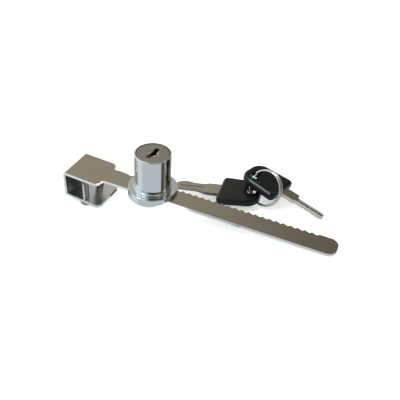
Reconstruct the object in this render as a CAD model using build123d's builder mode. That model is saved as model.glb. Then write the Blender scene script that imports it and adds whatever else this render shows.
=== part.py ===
from build123d import *
from math import cos, pi, radians, sin, sqrt, tan
import os

# Ratchet lock for sliding glass doors, in millimetres.
# The barrel's axis is +Z, +X runs along the bar to its tip, and +Y is the toothed side.
# The origin is on the barrel's axis, on the underside of the base flange.

# Strip steel of the bar and hook
steel_thickness = 1.5
bar_underside = 1.07
bar_front = -6.35
bar_back = 5.3
bar_tip = 98.7
tip_corner_radius = 4.5

# Saw teeth on the back edge
tooth_pitch = 3.67
tooth_depth = 1.15
tooth_steep_share = 0.25
tooth_count = 29
first_tooth = -14.43
neck_back = 4.75
neck_crest = -20.6

# Glass hook
hook_end = -48.7
plate_end = -27.1
plate_width = 20.9
plate_centre = -0.7
plate_pitch = 2.9
leaf_pitch = 5.4
plate_corner_share = 0.62
neck_fillet_share = 0.33
hook_height = 15.4
bend_outer_radius = 1.9
edge_break = 0.25

# Clamp screws through the lower leaf
clamp_from_hook_end = 11.5
clamp_edge_distance = 3.05
clamp_screw_radius = 2.0
clamp_head_radius = 3.1
clamp_head_height = 2.0
clamp_tip_radius = 2.4
clamp_tip_height = 1.2
clamp_stem_radius = 1.0
clamp_stem_length = 1.5

# Lock body
flange_radius = 13.05
flange_height = 4.5
collar_radius = 10.1
collar_height = 1.0
barrel_radius = 9.5
body_height = 25.0
rim_wall = 0.95
web_thickness = 1.1
body_edge_break = 0.3

# Plug and its keyway
plug_radius = 6.7
plug_head_height = 2.15
face_recess = 0.1
keyway_length = 9.6
keyway_width = 2.3
keyway_step = 0.7
keyway_dish_radius = 2.9
keyway_dish_depth = 0.5
plug_tail_radius = 3.5
plug_tail_gap = 0.2
crank_radius = 2.5
crank_offset = 0.92
crank_rest_angle = 45.0
crank_height = 0.95

# Wafers
wafer_count = 6
wafer_pitch = 2.2
wafer_thickness = 1.0
wafer_width = 5.0
wafer_window_width = 2.9
wafer_wall = 1.5
wafer_travel = 0.7
wafer_head_gap = 1.65
ear_reach = 1.3
ear_length = 1.2
wafer_spring_radius = 0.45
wafer_spring_wire = 0.12
wafer_spring_length = 2.6
wafer_spring_turns = 4

# Pawl
pawl_half_width = 3.6
pawl_length = 4.35
pawl_height = 3.3
pawl_travel = 1.3
pawl_tooth_gap = 0.1
pawl_rear_room = 0.6
pawl_arm_half_width = 4.6
pawl_arm_thickness = 0.8
pawl_arm_end_wall = 1.0
pawl_spring_radius = 0.9
pawl_spring_wire = 0.15
pawl_spring_turns = 6
pawl_spring_hole_depth = 3.5

# Small parts of the body
clip_radius = 4.3
clip_thickness = 0.5
clip_groove_depth = 0.6
clip_mouth = 4.6
stop_pin_radius = 0.45
stop_pin_depth = 2.3
stop_pin_reach = 1.0
stop_groove_depth = 1.15
stop_groove_sweep = 90.0
base_plate_radius = 11.0
base_plate_thickness = 1.0
base_screw_radius = 1.0
base_screw_head_radius = 1.7
base_screw_length = 3.4
front_screw_place = (4.4, -8.0)
back_screw_place = (5.4, 7.2)

# Keys
head_length = 22.5
head_width = 21.5
head_waist_width = 18.5
head_thickness = 4.8
head_bevel = 1.1
head_blade_corner = 2.5
head_ring_corner = 6.5
ring_slot_length = 11.5
ring_slot_width = 5.6
ring_slot_wall = 2.9
ring_slot_corner = 2.5
blade_length = 25.0
blade_width = 8.4
bitted_width = 6.4
blade_thickness = 2.1
blade_tip_width = 4.0
blade_tip_length = 3.0
blade_tip_nose = 0.6
shoulder_length = 6.0
cut_depths = (0.4, 0.7, 0.55, 0.35, 0.7, 0.55)
cut_slope_share = 0.35
tang_length = 8.0
groove_width = 1.2
groove_depth = 0.45

# Split ring
ring_radius = 9.3
ring_wire = 0.6
ring_gap = 0.45
ring_crossing_turn = 97.0
ring_crossing_angle = 20.0

# Cross recesses of the screws, as shares of their head's radius
recess_length_share = 1.2
recess_width_share = 0.25

# Clearances
running_gap = 0.05
slide_gap = 0.1
seat_gap = 0.05
search_margin = 0.01

# Places of the keys and ring above the sloping surface that the hook and the bar's tip lie on
bench_slope = 5.2
bench_start = -26.6
bench_height = -11.43
key_a_place = (30.54, 20.47)
key_a_height = 4.39
key_a_heading = 188.0
key_a_dip = 2.1
key_a_roll = 0.0
key_b_place = (63.37, 27.05)
key_b_height = 7.74
key_b_heading = -16.5
key_b_dip = 11.0
key_b_roll = -7.3
ring_centre = (53.77, 24.57, 5.41)
ring_first_way = (0.427, 0.264, 0.865)
ring_second_way = (-0.836, 0.481, 0.265)

# Sizes worked out from the ones above
bar_top = bar_underside + steel_thickness
tooth_root = bar_back - tooth_depth
steep_run = tooth_pitch * tooth_steep_share
gentle_run = tooth_pitch - steep_run
plate_slope = tan(radians(plate_pitch))
leaf_slope = tan(radians(leaf_pitch))
plate_rise = steel_thickness / cos(radians(plate_pitch))
leaf_rise = steel_thickness / cos(radians(leaf_pitch))
hook_top = bar_top + (plate_end - hook_end) * plate_slope
hook_bottom = hook_top - hook_height
hook_middle = (hook_top + hook_bottom) / 2
leaf_end_bottom = hook_bottom - (plate_end - hook_end) * leaf_slope
shoulder = bar_front - (plate_centre - plate_width / 2)
plate_corner_radius = plate_corner_share * shoulder
neck_fillet_radius = neck_fillet_share * shoulder
clamp_x = hook_end + clamp_from_hook_end
clamp_reach = plate_width / 2 - clamp_edge_distance
clamp_ys = (plate_centre - clamp_reach, plate_centre + clamp_reach)
clamp_tip_top = bar_underside + (plate_end - clamp_x - clamp_tip_radius) * plate_slope - seat_gap
clamp_screw_top = clamp_tip_top - clamp_tip_height - seat_gap
clamp_head_top = hook_bottom - (clamp_x + clamp_head_radius - hook_end) * leaf_slope - seat_gap

bar_slot_front = bar_front - slide_gap
bar_slot_back = bar_back + slide_gap
bar_slot_top = bar_top + slide_gap
counterbore_radius = barrel_radius - rim_wall
plug_top = body_height - face_recess
stop_radius = (plug_radius + counterbore_radius) / 2
plug_head_radius = counterbore_radius - running_gap
plug_head_bottom = plug_top - plug_head_height
plug_bore_radius = plug_radius + running_gap
web_top = flange_height + web_thickness
plug_bottom = web_top + plug_tail_gap
crank_bottom = bar_top + plug_tail_gap
crank_top = crank_bottom + crank_height
clip_top = flange_height - seat_gap
clip_bottom = clip_top - clip_thickness

wafer_stack_bottom = plug_head_bottom - wafer_head_gap - wafer_pitch * wafer_count
wafer_heights = [wafer_stack_bottom + wafer_pitch * (n + 0.5) for n in range(wafer_count)]
wafer_sides = [1 if n % 2 == 0 else -1 for n in range(wafer_count)]
wafer_reach = plug_radius - running_gap
wafer_groove_radius = plug_radius + wafer_travel + slide_gap
wafer_slot_width = wafer_width + 2 * running_gap
ear_pocket_outer = wafer_width / 2 + ear_reach + slide_gap

pawl_bottom = base_plate_thickness + seat_gap
pawl_top = pawl_bottom + pawl_height
pawl_face = bar_back + pawl_travel + pawl_tooth_gap
pawl_rear = pawl_face + pawl_length
pawl_pocket_rear = pawl_rear + pawl_rear_room
pawl_arm_bottom = bar_top + plug_tail_gap
crank_rest = crank_offset * sin(radians(crank_rest_angle))
window_reach = crank_rest + crank_radius + running_gap
pawl_arm_end = -window_reach - pawl_arm_end_wall
arm_pocket_front = pawl_arm_end - pawl_travel - slide_gap
spring_hole_bottom = pawl_rear - pawl_spring_hole_depth
spring_axis_height = (pawl_bottom + pawl_top) / 2

last_tooth = first_tooth + tooth_pitch * (tooth_count - 1)
teeth = [first_tooth + tooth_pitch * n for n in range(tooth_count)]
pawl_tooth = min(teeth, key=abs)


def bench_plane(place, height, heading, dip, roll=0):
    """Plane above the bench at (x, y): its x axis has a heading and dips, and its y axis can roll up."""
    slope = radians(bench_slope)
    normal = Vector(-sin(slope), 0, cos(slope))
    along = Vector(cos(slope), 0, sin(slope)) * cos(radians(heading))
    forward = along + Vector(0, 1, 0) * sin(radians(heading))
    foot = Vector(*place, bench_height + (place[0] - bench_start) * tan(slope))
    lean = radians(dip)
    x_way = forward * cos(lean) - normal * sin(lean)
    upright = normal * cos(lean) + forward * sin(lean)
    side = upright.cross(x_way)
    z_way = upright * cos(radians(roll)) - side * sin(radians(roll))
    return Plane(origin=foot + normal * height, x_dir=x_way, z_dir=z_way)


def half_turns(radius, wire, pitch, turns):
    """Coil about +Z from z = 0: every half turn is one tilted arc, so the coil has no spline."""
    rise = pitch / 2
    with BuildLine() as path:
        for n in range(2 * turns):
            side = 1 if n % 2 == 0 else -1
            z = n * rise
            ThreePointArc(
                (side * radius, 0, z),
                (0, side * radius, z + rise / 2),
                (-side * radius, 0, z + rise),
            )
    with BuildPart(mode=Mode.PRIVATE) as coil:
        with BuildSketch(Plane(origin=(radius, 0, 0), x_dir=(1, 0, 0), z_dir=(0, 1, 0))):
            Circle(wire)
        sweep(path=path.wire())
    return coil.part


# The bar: saw-toothed outline with hook plate and leaf, cut to the strip's bent side profile
with BuildPart() as ratchet_bar:
    with BuildSketch(Plane.XY.offset(hook_middle)) as strip:
        with BuildLine():
            saw = [(plate_end, neck_back), (plate_end, bar_front), (bar_tip, bar_front), (bar_tip, bar_back)]
            for tooth in reversed(teeth):
                saw.append((tooth, bar_back))
                saw.append((tooth - steep_run, tooth_root))
            Polyline(*saw)
            ThreePointArc(saw[-1], (neck_crest, bar_back), saw[0])
        make_face()
        fillet(strip.vertices().group_by(Axis.X)[-1], tip_corner_radius)
        with Locations(((hook_end + plate_end) / 2, plate_centre)):
            Rectangle(plate_end - hook_end, plate_width)
        corners = strip.vertices().filter_by_position(Axis.X, plate_end - search_margin, plate_end + search_margin)
        corners = corners.sort_by(Axis.Y)
        fillet([corners[0], corners[-1]], plate_corner_radius)
        roots = strip.vertices().filter_by_position(Axis.X, plate_end - search_margin, plate_end + search_margin)
        roots = [v for v in roots if bar_front - search_margin < v.Y < neck_back + search_margin]
        fillet(roots, neck_fillet_radius)
    extrude(amount=hook_height)

    with BuildSketch(Plane.XY.offset(hook_middle)) as leaf:
        with Locations(((hook_end + plate_end) / 2, plate_centre)):
            Rectangle(plate_end - hook_end, plate_width)
        fillet(leaf.vertices().group_by(Axis.X)[-1], plate_corner_radius)
        with Locations(*[(clamp_x, y) for y in clamp_ys]):
            Circle(clamp_screw_radius + running_gap, mode=Mode.SUBTRACT)
    extrude(amount=-hook_height)

    with BuildSketch(Plane.XZ) as side:
        with BuildLine():
            inner = hook_end + steel_thickness
            Polyline(
                (bar_tip, bar_top),
                (plate_end, bar_top),
                (hook_end, hook_top),
                (hook_end, hook_bottom),
                (plate_end, leaf_end_bottom),
                (plate_end, leaf_end_bottom + leaf_rise),
                (inner, hook_bottom - steel_thickness * leaf_slope + leaf_rise),
                (inner, hook_top - steel_thickness * plate_slope - plate_rise),
                (plate_end, bar_underside),
                (bar_tip, bar_underside),
                close=True,
            )
        make_face()
        bends = side.vertices()
        fillet(bends.group_by(Axis.X)[0], bend_outer_radius)
        inner_bends = side.vertices().filter_by_position(Axis.X, inner - search_margin, inner + search_margin)
        fillet(inner_bends, bend_outer_radius - steel_thickness)
    extrude(amount=plate_width, both=True, mode=Mode.INTERSECT)


def clamp_screw(y):
    """Pan-head screw from below through the lower leaf, with a cross recess and a hole for its tip."""
    head_bottom = clamp_head_top - clamp_head_height
    with BuildPart() as screw:
        with BuildSketch(Plane.XY.offset(head_bottom)):
            with Locations((clamp_x, y)):
                Circle(clamp_head_radius)
        extrude(amount=clamp_head_height)
        fillet(screw.edges().group_by(Axis.Z)[0], clamp_head_height / 2)
        with BuildSketch(Plane.XY.offset(clamp_head_top)):
            with Locations((clamp_x, y)):
                Circle(clamp_screw_radius)
        extrude(amount=clamp_screw_top - clamp_head_top)
        chamfer(screw.edges().group_by(Axis.Z)[-1], edge_break)
        with BuildSketch(Plane.XY.offset(clamp_screw_top)):
            with Locations((clamp_x, y)):
                Circle(clamp_stem_radius + running_gap)
        extrude(amount=-(clamp_stem_length + seat_gap), mode=Mode.SUBTRACT)
        with BuildSketch(Plane.XY.offset(head_bottom)):
            with Locations((clamp_x, y)):
                Rectangle(recess_length_share * clamp_head_radius, recess_width_share * clamp_head_radius)
                Rectangle(recess_width_share * clamp_head_radius, recess_length_share * clamp_head_radius)
        extrude(amount=clamp_head_height / 2, mode=Mode.SUBTRACT)
    return screw


def clamp_tip(y):
    """Soft button with a stem, pushed into the end of a clamp screw."""
    with BuildPart() as tip:
        with BuildSketch(Plane.XY.offset(clamp_tip_top)):
            with Locations((clamp_x, y)):
                Circle(clamp_tip_radius)
        extrude(amount=-clamp_tip_height)
        chamfer(tip.edges().group_by(Axis.Z)[-1], edge_break)
        with BuildSketch(Plane.XY.offset(clamp_tip_top - clamp_tip_height)):
            with Locations((clamp_x, y)):
                Circle(clamp_stem_radius)
        extrude(amount=-clamp_stem_length)
    return tip


# Lock body: flange, collar and barrel, with the bar's slot, the plug's bore and the pawl's pocket
with BuildPart() as lock_housing:
    with BuildSketch():
        Circle(flange_radius)
    extrude(amount=flange_height)
    fillet(lock_housing.edges().group_by(Axis.Z)[-1], body_edge_break)
    with BuildSketch(Plane.XY.offset(flange_height)):
        Circle(collar_radius)
    extrude(amount=collar_height)
    fillet(lock_housing.edges().group_by(Axis.Z)[-1], collar_height / 2)
    with BuildSketch(Plane.XY.offset(flange_height)):
        Circle(barrel_radius)
    extrude(amount=body_height - flange_height)
    chamfer(lock_housing.edges().group_by(Axis.Z)[-1], body_edge_break)

    with BuildSketch(Plane.XY.offset(web_top)):
        Circle(plug_bore_radius)
    extrude(amount=body_height - web_top, mode=Mode.SUBTRACT)
    with BuildSketch(Plane.XY.offset(plug_head_bottom - running_gap)):
        Circle(counterbore_radius)
    extrude(amount=body_height, mode=Mode.SUBTRACT)
    with BuildSketch(Plane.XY.offset(flange_height)):
        Circle(plug_tail_radius + slide_gap)
    extrude(amount=web_thickness, mode=Mode.SUBTRACT)

    with BuildSketch(Plane.XY.offset(wafer_stack_bottom)):
        groove_length = 2 * wafer_groove_radius
        groove_corner = wafer_thickness / 2
        RectangleRounded(groove_length, wafer_slot_width + 2 * slide_gap, groove_corner)
        RectangleRounded(wafer_slot_width + 2 * slide_gap, groove_length, groove_corner)
    extrude(amount=wafer_pitch * wafer_count, mode=Mode.SUBTRACT)

    with BuildSketch():
        Circle(base_plate_radius + running_gap)
    extrude(amount=base_plate_thickness, mode=Mode.SUBTRACT)
    slot_centre = (bar_slot_front + bar_slot_back) / 2
    with BuildSketch(Plane.XY.offset(base_plate_thickness)):
        with Locations((0, slot_centre)):
            Rectangle(3 * flange_radius, bar_slot_back - bar_slot_front)
    extrude(amount=bar_slot_top - base_plate_thickness, mode=Mode.SUBTRACT)
    with BuildSketch(Plane.XY.offset(base_plate_thickness)):
        with Locations((0, (bar_slot_back + pawl_pocket_rear) / 2)):
            Rectangle(2 * (pawl_half_width + slide_gap), pawl_pocket_rear - bar_slot_back)
    extrude(amount=flange_height - base_plate_thickness, mode=Mode.SUBTRACT)
    with BuildSketch(Plane.XY.offset(base_plate_thickness)):
        with Locations((0, (arm_pocket_front + pawl_face) / 2)):
            Rectangle(2 * (pawl_arm_half_width + slide_gap), pawl_face - arm_pocket_front)
    extrude(amount=flange_height - base_plate_thickness, mode=Mode.SUBTRACT)

    with BuildSketch(Plane.XY.offset(base_plate_thickness)):
        for side in (-1, 1):
            with Locations((side * front_screw_place[0], front_screw_place[1])):
                Circle(base_screw_radius)
            with Locations((side * back_screw_place[0], back_screw_place[1])):
                Circle(base_screw_radius)
    extrude(amount=base_screw_length, mode=Mode.SUBTRACT)
    with BuildSketch(Plane.XY.offset(plug_head_bottom)):
        with Locations((-stop_radius, 0)):
            Circle(stop_pin_radius)
    extrude(amount=-stop_pin_depth, mode=Mode.SUBTRACT)

# Plug: head flush in the rim, body with wafer slots, tail with its clip groove and crank
with BuildPart() as plug:
    with BuildSketch(Plane.XY.offset(plug_head_bottom)):
        Circle(plug_head_radius)
    extrude(amount=plug_head_height)
    chamfer(plug.edges().group_by(Axis.Z)[-1], edge_break)
    with BuildSketch(Plane.XY.offset(plug_bottom)):
        Circle(plug_radius)
    extrude(amount=plug_head_bottom - plug_bottom)
    with BuildSketch(Plane.XY.offset(crank_top)):
        Circle(plug_tail_radius)
    extrude(amount=plug_bottom - crank_top)
    with BuildSketch(Plane.XY.offset(clip_bottom - running_gap)):
        Circle(plug_tail_radius)
        Circle(plug_tail_radius - clip_groove_depth, mode=Mode.SUBTRACT)
    extrude(amount=clip_thickness + 2 * running_gap, mode=Mode.SUBTRACT)
    crank_place = (crank_offset * cos(radians(crank_rest_angle)), crank_rest)
    with BuildSketch(Plane.XY.offset(crank_bottom)):
        with Locations(crank_place):
            Circle(crank_radius)
    extrude(amount=crank_height)

    with BuildSketch(Plane.XY.offset(wafer_stack_bottom)):
        third = keyway_length / 3
        Rectangle(keyway_width, third)
        with Locations((-keyway_step / 2, -third)):
            Rectangle(keyway_width, third)
        with Locations((keyway_step / 2, third)):
            Rectangle(keyway_width, third)
    extrude(amount=plug_top - wafer_stack_bottom, mode=Mode.SUBTRACT)
    with BuildSketch(Plane.XY.offset(plug_top - keyway_dish_depth)):
        Circle(keyway_dish_radius)
    extrude(amount=keyway_dish_depth, mode=Mode.SUBTRACT)

    for z, side in zip(wafer_heights, wafer_sides):
        slot_bottom = z - wafer_thickness / 2 - running_gap
        with BuildSketch(Plane.XY.offset(slot_bottom)):
            Rectangle(wafer_slot_width, 3 * plug_radius)
            pocket_length = wafer_spring_length + ear_length + wafer_travel + slide_gap
            pocket_width = ear_pocket_outer - wafer_width / 2
            pocket_y = side * (pocket_length / 2 - wafer_spring_length - ear_length / 2)
            with Locations((wafer_width / 2 + pocket_width / 2, pocket_y)):
                Rectangle(pocket_width, pocket_length)
        extrude(amount=wafer_thickness + 2 * running_gap, mode=Mode.SUBTRACT)

    with BuildSketch(Plane.XY.offset(plug_head_bottom)):
        with BuildLine():
            CenterArc((0, 0), stop_radius, 180, stop_groove_sweep)
        groove_half_width = stop_pin_radius + slide_gap
        trace(line_width=2 * groove_half_width)
        with Locations((-stop_radius, 0), (0, -stop_radius)):
            Circle(groove_half_width)
    extrude(amount=stop_groove_depth, mode=Mode.SUBTRACT)


def wafer(z):
    """Sliding plate with a window for the key and an ear for its spring."""
    with BuildPart() as plate:
        with BuildSketch(Plane.XY.offset(z - wafer_thickness / 2)):
            Circle(wafer_reach)
            Rectangle(wafer_width, 2 * wafer_reach, mode=Mode.INTERSECT)
            with Locations((wafer_width / 2 + ear_reach / 2, 0)):
                Rectangle(ear_reach, ear_length)
            window_length = 2 * (wafer_reach - wafer_wall)
            RectangleRounded(wafer_window_width, window_length, wafer_thickness / 2, mode=Mode.SUBTRACT)
        extrude(amount=wafer_thickness)
    return plate


def wafer_spring(z, side):
    """Small coil beside the wafer's window, between its ear and the end of its pocket in the plug."""
    pitch = (wafer_spring_length - 2 * wafer_spring_wire) / wafer_spring_turns
    coil = half_turns(wafer_spring_radius - wafer_spring_wire, wafer_spring_wire, pitch, wafer_spring_turns)
    start = Vector(wafer_width / 2 + ear_reach / 2, -side * (ear_length / 2 + wafer_spring_wire), z)
    return Plane(origin=start, x_dir=(1, 0, 0), z_dir=(0, -side, 0)).location * coil


# Pawl: block with one saw tooth, a bored back for its spring and an arm with a window for the crank
with BuildPart() as pawl:
    with BuildSketch(Plane.XY.offset(pawl_bottom)):
        with Locations((0, (pawl_face + pawl_rear) / 2)):
            Rectangle(2 * pawl_half_width, pawl_length)
    extrude(amount=pawl_height)
    with BuildSketch(Plane.XY.offset(pawl_bottom)):
        nose_tip = tooth_root + pawl_travel + pawl_tooth_gap
        nose_back = pawl_face + running_gap
        steepness = steep_run / tooth_depth
        gentleness = gentle_run / tooth_depth
        nose_x = pawl_tooth - steep_run - pawl_tooth_gap
        with BuildLine():
            Polyline(
                (nose_x, nose_tip),
                (nose_x + (nose_back - nose_tip) * steepness, nose_back),
                (nose_x - (nose_back - nose_tip) * gentleness, nose_back),
                close=True,
            )
        make_face()
    extrude(amount=bar_slot_top - pawl_bottom)
    with BuildSketch(Plane.XY.offset(pawl_arm_bottom)):
        with Locations((0, (pawl_arm_end + pawl_face) / 2)):
            Rectangle(2 * pawl_arm_half_width, pawl_face - pawl_arm_end)
        with Locations((crank_offset / 2, 0)):
            window_width = 2 * (crank_radius + crank_offset / 2 + running_gap)
            Rectangle(window_width, 2 * window_reach, mode=Mode.SUBTRACT)
    extrude(amount=pawl_arm_thickness)
    with BuildSketch(Plane.XZ.offset(-pawl_rear)):
        with Locations((0, spring_axis_height)):
            Circle(pawl_spring_radius + slide_gap)
    extrude(amount=pawl_spring_hole_depth, mode=Mode.SUBTRACT)

# Coil behind the pawl, from the bottom of its hole to the flange's wall
pawl_spring_length = pawl_pocket_rear - spring_hole_bottom
pawl_spring_pitch = (pawl_spring_length - 2 * pawl_spring_wire) / pawl_spring_turns
pawl_coil = half_turns(
    pawl_spring_radius - pawl_spring_wire, pawl_spring_wire, pawl_spring_pitch, pawl_spring_turns
)
pawl_spring_place = Plane(
    origin=(0, spring_hole_bottom + pawl_spring_wire, spring_axis_height), x_dir=(1, 0, 0), z_dir=(0, 1, 0)
)
pawl_spring = pawl_spring_place.location * pawl_coil

# Clip in the groove of the plug's tail
with BuildPart() as retaining_clip:
    with BuildSketch(Plane.XY.offset(clip_bottom)):
        Circle(clip_radius)
        Circle(plug_tail_radius - clip_groove_depth + running_gap, mode=Mode.SUBTRACT)
        with Locations((-clip_radius, 0)):
            Rectangle(2 * clip_radius, clip_mouth, mode=Mode.SUBTRACT)
    extrude(amount=clip_thickness)

# Pin that stops the plug after a quarter turn
with BuildPart() as turn_stop_pin:
    with BuildSketch(Plane.XY.offset(plug_head_bottom - stop_pin_depth)):
        with Locations((-stop_radius, 0)):
            Circle(stop_pin_radius)
    extrude(amount=stop_pin_depth + stop_pin_reach)

# Round plate that closes the mechanism from below, and its four countersunk screws
screw_places = [
    (side * x, y) for x, y in (front_screw_place, back_screw_place) for side in (-1, 1)
]
head_depth = base_screw_head_radius - base_screw_radius
with BuildPart() as base_plate:
    with BuildSketch():
        Circle(base_plate_radius)
    extrude(amount=base_plate_thickness)
    for place in screw_places:
        with BuildSketch():
            with Locations(place):
                Circle(base_screw_head_radius)
        with BuildSketch(Plane.XY.offset(head_depth)):
            with Locations(place):
                Circle(base_screw_radius)
        loft(mode=Mode.SUBTRACT)
        with BuildSketch():
            with Locations(place):
                Circle(base_screw_radius)
        extrude(amount=base_plate_thickness, mode=Mode.SUBTRACT)

with BuildPart() as base_screws:
    for place in screw_places:
        with BuildSketch():
            with Locations(place):
                Circle(base_screw_head_radius)
        with BuildSketch(Plane.XY.offset(head_depth)):
            with Locations(place):
                Circle(base_screw_radius)
        loft()
        with BuildSketch():
            with Locations(place):
                Circle(base_screw_radius)
        extrude(amount=base_screw_length + base_plate_thickness - slide_gap)
        with BuildSketch():
            with Locations(place):
                recess_length = recess_length_share * base_screw_head_radius
                recess_width = recess_width_share * base_screw_head_radius
                Rectangle(recess_length, recess_width)
                Rectangle(recess_width, recess_length)
        extrude(amount=head_depth, mode=Mode.SUBTRACT)


def key_head(place):
    """Moulded head with bevelled edges, a slot for the ring and a pocket for the blade's tang."""
    with BuildPart() as head:
        with BuildSketch(place.offset(-head_thickness / 2)):
            with BuildLine():
                Polyline(
                    (0, -head_width / 2),
                    (0, head_width / 2),
                    (-head_length, head_waist_width / 2),
                    (-head_length, -head_waist_width / 2),
                    close=True,
                )
            make_face()
        extrude(amount=head_thickness)
        uprights = head.edges().filter_by(lambda e: abs(e.tangent_at(0.5).dot(place.z_dir)) > 0.999)
        by_length = uprights.sort_by(lambda e: place.to_local_coords(e.center()).X)
        fillet(by_length[:2], head_ring_corner)
        uprights = head.edges().filter_by(lambda e: abs(e.tangent_at(0.5).dot(place.z_dir)) > 0.999)
        by_length = uprights.sort_by(lambda e: place.to_local_coords(e.center()).X)
        fillet(by_length[-2:], head_blade_corner)
        faces = head.faces().filter_by(lambda f: abs(f.normal_at().dot(place.z_dir)) > 0.999)
        chamfer(faces.edges(), head_bevel)
        with BuildSketch(place.offset(-head_thickness / 2)):
            with Locations((-head_length + ring_slot_wall + ring_slot_width / 2, 0)):
                RectangleRounded(ring_slot_width, ring_slot_length, ring_slot_corner)
        extrude(amount=head_thickness, mode=Mode.SUBTRACT)
        with BuildSketch(place.offset(-blade_thickness / 2)):
            with Locations((-tang_length / 2, 0)):
                Rectangle(tang_length, blade_width)
        extrude(amount=blade_thickness, mode=Mode.SUBTRACT)
    return head


def key_blade(place):
    """Flat blade with a tang in the head, a shoulder, waves on both edges and a groove on each face."""
    cut_run = (blade_length - shoulder_length - blade_tip_length) / len(cut_depths)
    cut_edge = bitted_width / 2
    with BuildPart() as blade:
        with BuildSketch(place.offset(-blade_thickness / 2)):
            with BuildLine():
                edge = [(-tang_length, blade_width / 2), (shoulder_length, blade_width / 2)]
                edge.append((shoulder_length, cut_edge))
                for n, depth in enumerate(cut_depths):
                    start = shoulder_length + n * cut_run
                    edge.append((start + cut_run * cut_slope_share, cut_edge - depth))
                    edge.append((start + cut_run * (1 - cut_slope_share), cut_edge - depth))
                    edge.append((start + cut_run, cut_edge))
                edge.append((blade_length - blade_tip_nose, blade_tip_width / 2))
                edge.append((blade_length, blade_tip_width / 4))
                mirrored = [(x, -y) for x, y in reversed(edge)]
                Polyline(*edge, *mirrored, close=True)
            make_face()
        extrude(amount=blade_thickness)
        for side in (-1, 1):
            groove_y = side * blade_width / 6
            groove_x = (shoulder_length + blade_length) / 2
            face_offset = side * blade_thickness / 2
            with BuildSketch(place.offset(face_offset)):
                with Locations((groove_x, groove_y)):
                    Rectangle(blade_length - shoulder_length, groove_width)
            extrude(amount=-side * groove_depth, mode=Mode.SUBTRACT)
    return blade


# The keys, held up by the ring and by each other
key_a_plane = bench_plane(key_a_place, key_a_height, key_a_heading, key_a_dip, key_a_roll)
key_b_plane = bench_plane(key_b_place, key_b_height, key_b_heading, key_b_dip, key_b_roll)

# Split ring: two flat turns side by side, joined by a short crossing
ring_step = 2 * ring_wire + ring_gap
ring_first = Vector(*ring_first_way).normalized()
ring_normal = ring_first.cross(Vector(*ring_second_way)).normalized()
ring_second = ring_normal.cross(ring_first)
crossing_turn = radians(ring_crossing_turn)
crossing_way = ring_first * cos(crossing_turn) + ring_second * sin(crossing_turn)
ring_plane = Plane(origin=ring_centre, x_dir=crossing_way, z_dir=ring_normal)
crossing = radians(ring_crossing_angle)


def ring_point(angle, layer, radius=ring_radius):
    """Point on the ring's centre line, on one of its two layers."""
    return (radius * cos(angle), radius * sin(angle), (layer - 0.5) * ring_step)


with BuildLine() as ring_path:
    turn_start = crossing
    turn_end = 2 * pi - crossing
    ThreePointArc(ring_point(turn_start, 0), ring_point((turn_start + pi) / 2, 0), ring_point(pi, 0))
    ThreePointArc(ring_point(pi, 0), ring_point((pi + turn_end) / 2, 0), ring_point(turn_end, 0))
    middle = Vector(ring_point(0, 0.5, sqrt(ring_radius**2 + (ring_step / 2) ** 2)))
    start_way = Vector(sin(crossing), cos(crossing), 0)
    chord = (middle - Vector(ring_point(turn_end, 0))).normalized()
    middle_way = chord * (2 * start_way.dot(chord)) - start_way
    TangentArc(ring_point(turn_end, 0), middle, tangent=start_way)
    TangentArc(middle, ring_point(turn_start, 1), tangent=middle_way)
    ThreePointArc(ring_point(turn_start, 1), ring_point((turn_start + pi) / 2, 1), ring_point(pi, 1))
    ThreePointArc(ring_point(pi, 1), ring_point((pi + turn_end) / 2, 1), ring_point(turn_end, 1))
with BuildPart() as flat_ring:
    with BuildSketch(
        Plane(
            origin=ring_point(turn_start, 0),
            x_dir=(cos(crossing), sin(crossing), 0),
            z_dir=(-sin(crossing), cos(crossing), 0),
        )
    ):
        Circle(ring_wire)
    sweep(path=ring_path.wire())
split_ring = ring_plane.location * flat_ring.part

# The least gap between the ring's two turns, on points along its centre line
ring_samples = 720
ring_centre_line = ring_path.wire()
ring_points = [ring_centre_line @ (n / ring_samples) for n in range(ring_samples + 1)]
apart = ring_samples // 4
ring_least_gap = min(
    (ring_points[n] - ring_points[m]).length - 2 * ring_wire
    for n in range(ring_samples + 1)
    for m in range(n + apart, ring_samples + 1)
)
print("split ring: least gap between its turns", round(ring_least_gap, 2), "mm")

nodes = {
    "ratchet_bar": ratchet_bar.part,
    "front_clamp_screw": clamp_screw(clamp_ys[0]).part,
    "rear_clamp_screw": clamp_screw(clamp_ys[1]).part,
    "front_clamp_tip": clamp_tip(clamp_ys[0]).part,
    "rear_clamp_tip": clamp_tip(clamp_ys[1]).part,
    "lock_housing": lock_housing.part,
    "plug": plug.part,
    "pawl": pawl.part,
    "pawl_spring": pawl_spring,
    "retaining_clip": retaining_clip.part,
    "turn_stop_pin": turn_stop_pin.part,
    "base_plate": base_plate.part,
    "base_screws": base_screws.part,
    "key_blade_a": key_blade(key_a_plane).part,
    "key_head_a": key_head(key_a_plane).part,
    "key_blade_b": key_blade(key_b_plane).part,
    "key_head_b": key_head(key_b_plane).part,
    "split_ring": split_ring,
}
for n, (z, side) in enumerate(zip(wafer_heights, wafer_sides), start=1):
    nodes[f"wafer_{n}"] = wafer(z).part
    nodes[f"wafer_spring_{n}"] = wafer_spring(z, side)

os.makedirs("parts", exist_ok=True)
for name, solid in nodes.items():
    solid.label = name
    export_step(solid, f"parts/{name}.step")
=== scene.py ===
"""Ratchet lock for sliding glass doors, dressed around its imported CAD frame.

The sizes are in metres, in the CAD frame: +Z up the barrel, +X along the bar to its tip.
"""

import bmesh
import bpy
from bpy.props import FloatProperty, FloatVectorProperty, PointerProperty
from math import cos, radians, sin, tan
from mathutils import Matrix, Vector


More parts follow.
